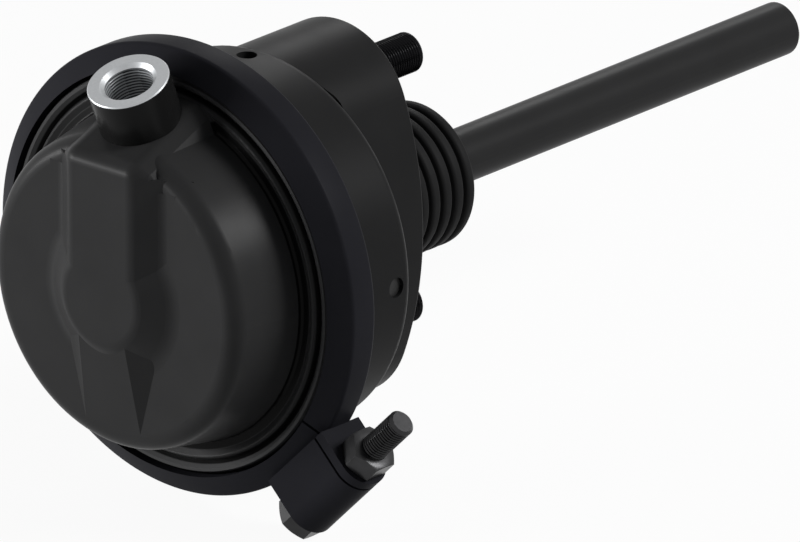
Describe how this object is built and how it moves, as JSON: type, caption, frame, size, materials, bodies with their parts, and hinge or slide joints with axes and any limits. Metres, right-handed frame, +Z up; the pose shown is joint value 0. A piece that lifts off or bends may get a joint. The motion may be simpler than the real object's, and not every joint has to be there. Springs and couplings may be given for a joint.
{
  "type": "air brake chamber",
  "caption": "Round air brake chamber with a clamped diaphragm housing, angled inlet boss, two mounting studs, bellows and a long sliding push rod.",
  "frame": {"origin": "centre of the mounting face, on the push rod's axis", "axes": "+Y along the push rod, out of the mounting face; +Z up, from the lower stud to the upper stud; +X to the side of the clamp bolt"},
  "size_m": [0.1504, 0.2965, 0.1388],
  "materials": {
    "housing_paint": "satin black paint",
    "boss_paint": "satin black paint with a bare machined port face",
    "clamp_paint": "semi-gloss black paint",
    "bracket_paint": "satin black paint",
    "fastener_steel": "black oxide steel",
    "stud_steel": "black oxide steel with a rolled thread",
    "rod_steel": "black painted steel",
    "spring_steel": "oiled spring steel",
    "plug_plastic": "black moulded plastic",
    "guide_plastic": "natural moulded acetal",
    "bellows_rubber": "matt black rubber",
    "diaphragm_rubber": "fabric-backed black rubber"
  },
  "bodies": {
    "chamber": {"pressure_cover": "housing_paint", "inlet_boss": "boss_paint", "diaphragm": "diaphragm_rubber", "clamp_ring": "clamp_paint", "clamp_lug": "clamp_paint", "clamp_ear": "clamp_paint", "clamp_bolt": "fastener_steel", "clamp_nut": "fastener_steel", "spring_housing": "housing_paint", "vent_plug_right": "plug_plastic", "vent_plug_left": "plug_plastic", "rod_guide": "guide_plastic", "mounting_bracket": "bracket_paint", "stud_plate": "bracket_paint", "stud_upper": "stud_steel", "stud_lower": "stud_steel", "bellows": "bellows_rubber", "bellows_retainer": "bracket_paint", "spring_seat": "spring_steel", "return_spring": "spring_steel"},
    "rod": {"push_rod": "rod_steel", "push_plate": "rod_steel", "rod_collar": "rod_steel"}
  },
  "joints": [
    {"name": "push_rod_slide", "type": "slide", "parent": "chamber", "child": "rod", "axis": [0, 1, 0], "range_m": [0, 0.0445], "stiffness_N_per_m": 2500, "springref_m": -0.035, "deforming": ["bellows", "return_spring", "diaphragm"]}
  ]
}
